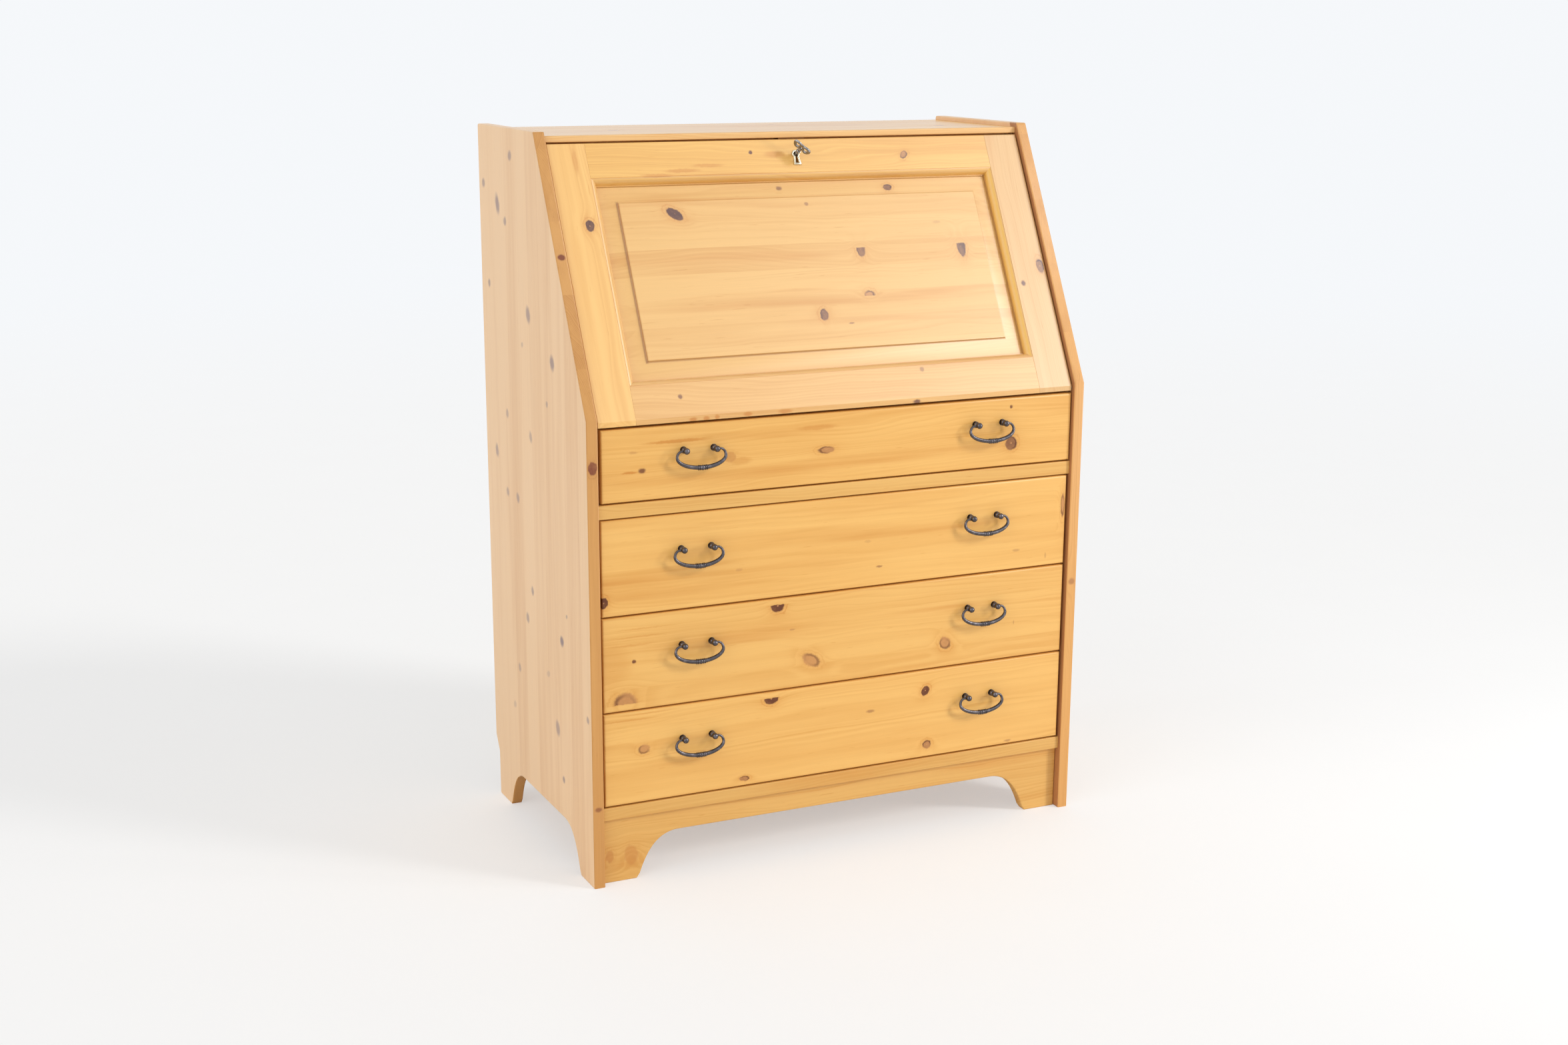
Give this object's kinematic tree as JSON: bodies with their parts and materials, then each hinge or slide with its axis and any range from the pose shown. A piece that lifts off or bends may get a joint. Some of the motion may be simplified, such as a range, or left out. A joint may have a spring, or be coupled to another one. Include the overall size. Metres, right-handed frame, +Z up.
{
  "type": "fall-front secretary",
  "caption": "Pine writing bureau: slanted panelled fall with lock and key that drops to a writing level on stays, over full-width drawers with bail pulls.",
  "frame": {"origin": "on the floor, under the middle of the bounding box (the pulls are part of the box)", "axes": "+X to the right as seen from the front, +Y to the back, +Z up; the front faces -Y"},
  "size_m": [0.85, 0.4884, 1.124],
  "materials": {
    "honey_pine": "satin lacquer",
    "side_pine": "satin lacquer",
    "bare_pine": "planed",
    "plywood": "sanded",
    "dark_pewter": "antiqued",
    "steel": "plated",
    "pale_brass": "polished"
  },
  "bodies": {
    "carcass": {"left_side": "side_pine", "right_side": "side_pine", "top_board": "honey_pine", "desk_board": "bare_pine", "fixed_shelf": "honey_pine", "bottom_board": "honey_pine", "plinth": "honey_pine", "back_panel": "plywood", "gallery_shelf": "bare_pine", "gallery_divider": "bare_pine", "runner_2_left": "bare_pine", "runner_2_right": "bare_pine", "runner_3_left": "bare_pine", "runner_3_right": "bare_pine", "strike_plate": "steel", "stay_track_left": "steel", "stay_track_right": "steel"},
    "fall": {"fall_left_stile": "honey_pine", "fall_right_stile": "honey_pine", "fall_top_rail": "honey_pine", "fall_bottom_rail": "honey_pine", "fall_panel": "honey_pine", "lock_case": "steel", "escutcheon": "pale_brass", "hinge_pin_left": "steel", "hinge_pin_right": "steel", "stay_bracket_left": "steel", "stay_bracket_right": "steel"},
    "key": {"key": "steel"},
    "lock_bolt": {"lock_bolt": "steel"},
    "stay_left": {"stay_bar_left": "steel"},
    "stay_right": {"stay_bar_right": "steel"},
    "drawer_1": {"drawer_1_front": "honey_pine", "drawer_1_left_side": "bare_pine", "drawer_1_right_side": "bare_pine", "drawer_1_back": "bare_pine", "drawer_1_bottom": "plywood"},
    "bail_1_left": {"bail_1_left": "dark_pewter"},
    "bail_1_right": {"bail_1_right": "dark_pewter"},
    "drawer_2": {"drawer_2_front": "honey_pine", "drawer_2_left_side": "bare_pine", "drawer_2_right_side": "bare_pine", "drawer_2_back": "bare_pine", "drawer_2_bottom": "plywood"},
    "bail_2_left": {"bail_2_left": "dark_pewter"},
    "bail_2_right": {"bail_2_right": "dark_pewter"},
    "drawer_3": {"drawer_3_front": "honey_pine", "drawer_3_left_side": "bare_pine", "drawer_3_right_side": "bare_pine", "drawer_3_back": "bare_pine", "drawer_3_bottom": "plywood"},
    "bail_3_left": {"bail_3_left": "dark_pewter"},
    "bail_3_right": {"bail_3_right": "dark_pewter"},
    "drawer_4": {"drawer_4_front": "honey_pine", "drawer_4_left_side": "bare_pine", "drawer_4_right_side": "bare_pine", "drawer_4_back": "bare_pine", "drawer_4_bottom": "plywood"},
    "bail_4_left": {"bail_4_left": "dark_pewter"},
    "bail_4_right": {"bail_4_right": "dark_pewter"}
  },
  "joints": [
    {"name": "fall_hinge", "type": "hinge", "parent": "carcass", "child": "fall", "pos_m": [0, -0.21975, 0.7162], "axis": [1, 0, 0], "range_deg": [0, 117.2]},
    {"name": "key_turn", "type": "hinge", "parent": "fall", "child": "key", "pos_m": [0, -0.03796, 1.08322], "axis": [0, 0.8893, -0.4573], "range_deg": [0, 90]},
    {"name": "bolt_slide", "type": "slide", "parent": "fall", "child": "lock_bolt", "axis": [0, 0.4573, 0.8893], "range_m": [0, 0.012]},
    {"name": "stay_left_hinge", "type": "hinge", "parent": "fall", "child": "stay_left", "pos_m": [-0.4015, -0.12997, 0.8387], "axis": [1, 0, 0], "range_deg": [-75.1, 0]},
    {"name": "stay_right_hinge", "type": "hinge", "parent": "fall", "child": "stay_right", "pos_m": [0.4015, -0.12997, 0.8387], "axis": [1, 0, 0], "range_deg": [-75.1, 0]},
    {"name": "drawer_1_slide", "type": "slide", "parent": "carcass", "child": "drawer_1", "axis": [0, -1, 0], "range_m": [0, 0.3]},
    {"name": "bail_1_left_swing", "type": "hinge", "parent": "drawer_1", "child": "bail_1_left", "pos_m": [-0.24625, -0.23525, 0.6703], "axis": [-1, 0, 0], "range_deg": [0, 95]},
    {"name": "bail_1_right_swing", "type": "hinge", "parent": "drawer_1", "child": "bail_1_right", "pos_m": [0.25225, -0.23525, 0.6703], "axis": [-1, 0, 0], "range_deg": [0, 95]},
    {"name": "drawer_2_slide", "type": "slide", "parent": "carcass", "child": "drawer_2", "axis": [0, -1, 0], "range_m": [0, 0.3]},
    {"name": "bail_2_left_swing", "type": "hinge", "parent": "drawer_2", "child": "bail_2_left", "pos_m": [-0.25095, -0.23525, 0.5203], "axis": [-1, 0, 0], "range_deg": [0, 95]},
    {"name": "bail_2_right_swing", "type": "hinge", "parent": "drawer_2", "child": "bail_2_right", "pos_m": [0.24755, -0.23525, 0.5203], "axis": [-1, 0, 0], "range_deg": [0, 95]},
    {"name": "drawer_3_slide", "type": "slide", "parent": "carcass", "child": "drawer_3", "axis": [0, -1, 0], "range_m": [0, 0.3]},
    {"name": "bail_3_left_swing", "type": "hinge", "parent": "drawer_3", "child": "bail_3_left", "pos_m": [-0.25095, -0.23525, 0.3707], "axis": [-1, 0, 0], "range_deg": [0, 95]},
    {"name": "bail_3_right_swing", "type": "hinge", "parent": "drawer_3", "child": "bail_3_right", "pos_m": [0.24755, -0.23525, 0.3707], "axis": [-1, 0, 0], "range_deg": [0, 95]},
    {"name": "drawer_4_slide", "type": "slide", "parent": "carcass", "child": "drawer_4", "axis": [0, -1, 0], "range_m": [0, 0.3]},
    {"name": "bail_4_left_swing", "type": "hinge", "parent": "drawer_4", "child": "bail_4_left", "pos_m": [-0.25095, -0.23525, 0.2211], "axis": [-1, 0, 0], "range_deg": [0, 95]},
    {"name": "bail_4_right_swing", "type": "hinge", "parent": "drawer_4", "child": "bail_4_right", "pos_m": [0.24755, -0.23525, 0.2211], "axis": [-1, 0, 0], "range_deg": [0, 95]}
  ],
  "couplings": [
    {"joint": "bolt_slide", "follows": "key_turn", "m_per_rad": 0.007639},
    {"joint": "stay_left_hinge", "follows": "fall_hinge", "ratio": -0.63997},
    {"joint": "stay_right_hinge", "follows": "fall_hinge", "ratio": -0.63997}
  ]
}
